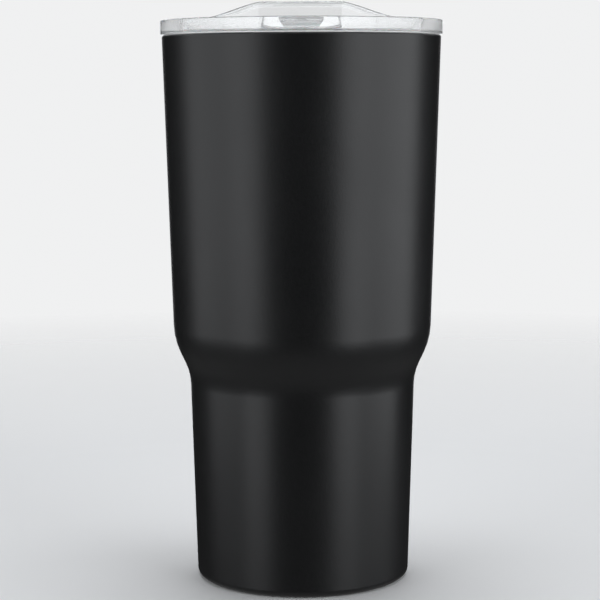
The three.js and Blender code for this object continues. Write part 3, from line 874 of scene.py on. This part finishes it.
def make_camera():
    data = bpy.data.cameras.new("camera")
    data.lens = LENS
    data.sensor_width = 36
    camera = bpy.data.objects.new("camera", data)
    bpy.context.scene.collection.objects.link(camera)
    camera.location = (0, -CAMERA_DISTANCE, CAMERA_HEIGHT)
    look = Vector(AIM) - camera.location
    camera.rotation_euler = look.to_track_quat("-Z", "Y").to_euler()
    camera.rotation_euler.rotate_axis("Z", ROLL)
    bpy.context.scene.camera = camera


def make_floor():
    """A pale floor that fades into the pale background. The cup's sides don't mirror it."""
    bpy.ops.mesh.primitive_circle_add(vertices=96, radius=FLOOR_RADIUS, fill_type="NGON")
    floor = bpy.context.object
    floor.name = "floor"
    nodes = Nodes("floor")
    nodes.set(Base_Color=(0.8, 0.8, 0.8, 1), Roughness=0.6, Specular_IOR_Level=0.2)
    place = nodes.place()
    distance = nodes.add("ShaderNodeVectorMath", {0: place}, operation="LENGTH").outputs["Value"]
    nodes.link(nodes.spread(distance, 1.0, 0.0, *FLOOR_FADE), "Alpha")
    floor.data.materials.append(nodes.material)
    floor.visible_glossy = False
    floor.visible_shadow = False


def make_world():
    """Pale where it is seen, dim as a light, and through the clear lid bright only behind the cup.

    Reflections also get a soft glow from below, in place of the floor, which they don't show.
    """
    world = bpy.data.worlds.new("world")
    bpy.context.scene.world = world
    world.use_nodes = True
    tree = world.node_tree
    tree.nodes.clear()

    def background(colour, strength):
        node = tree.nodes.new("ShaderNodeBackground")
        node.inputs["Color"].default_value = (*colour, 1)
        node.inputs["Strength"].default_value = strength
        return node.outputs[0]

    def choose(factor, first, second):
        node = tree.nodes.new("ShaderNodeMixShader")
        for socket, source in zip(node.inputs, (factor, first, second)):
            tree.links.new(source, socket)
        return node.outputs[0]

    def ramp(value, low, high):
        node = tree.nodes.new("ShaderNodeMapRange")
        node.interpolation_type = "SMOOTHSTEP"
        node.inputs["From Min"].default_value = low
        node.inputs["From Max"].default_value = high
        tree.links.new(value, node.inputs["Value"])
        return node.outputs[0]

    white = (0.99, 0.995, 1.0)
    path = tree.nodes.new("ShaderNodeLightPath")
    ray = tree.nodes.new("ShaderNodeSeparateXYZ")
    tree.links.new(tree.nodes.new("ShaderNodeTexCoord").outputs["Generated"], ray.inputs[0])
    studio = choose(ramp(ray.outputs["Y"], 0.3, 0.9), background(white, 0.28), background(white, 0.8))
    through_lid = ramp(path.outputs["Transmission Depth"], 0, 1)
    dim = choose(ramp(ray.outputs["Z"], -0.8, -0.2), background(white, 0.25), background(white, 0.012))
    lit = choose(through_lid, dim, studio)
    seen = choose(path.outputs["Is Camera Ray"], lit, background(white, 0.88))
    output = tree.nodes.new("ShaderNodeOutputWorld")
    tree.links.new(seen, output.inputs["Surface"])


def softbox(name, azimuth, distance, height, size, power):
    """An area light at an azimuth from the front, seen in reflections but not through the lid."""
    data = bpy.data.lights.new(name, "AREA")
    data.shape = "RECTANGLE"
    data.size, data.size_y = size
    data.energy = power
    data.color = LAMP_COLOUR
    light = bpy.data.objects.new(name, data)
    bpy.context.scene.collection.objects.link(light)
    angle = math.radians(azimuth)
    light.location = (distance * math.sin(angle), -distance * math.cos(angle), height)
    light.rotation_euler = (Vector(LAMP_TARGET) - light.location).to_track_quat("-Z", "Y").to_euler()
    light.visible_camera = False
    light.visible_transmission = False


def make_lights():
    softbox("key_left", -47.5, 1.0, 0.30, (0.52, 1.2), 3.6)
    softbox("key_right", 45.5, 1.0, 0.30, (0.52, 1.2), 4.3)
    softbox("side_left", -85, 1.0, 0.30, (0.85, 1.0), 3.4)
    softbox("side_right", 85, 1.0, 0.30, (0.9, 1.0), 5.3)
    softbox("top", 180, 0.3, 1.2, (1.0, 1.0), 11)
    softbox("backdrop", 180, 1.3, 0.3, (0.9, 1.0), 2.6)


def make_settings():
    """Plain colours, and enough bounces for light to find its way through the clear lid."""
    scene = bpy.context.scene
    scene.view_settings.view_transform = "Standard"
    scene.cycles.max_bounces = BOUNCES
    scene.cycles.glossy_bounces = BOUNCES
    scene.cycles.transmission_bounces = BOUNCES


make_settings()
make_camera()
make_world()
make_floor()
make_lights()
make_cup()
make_lid()
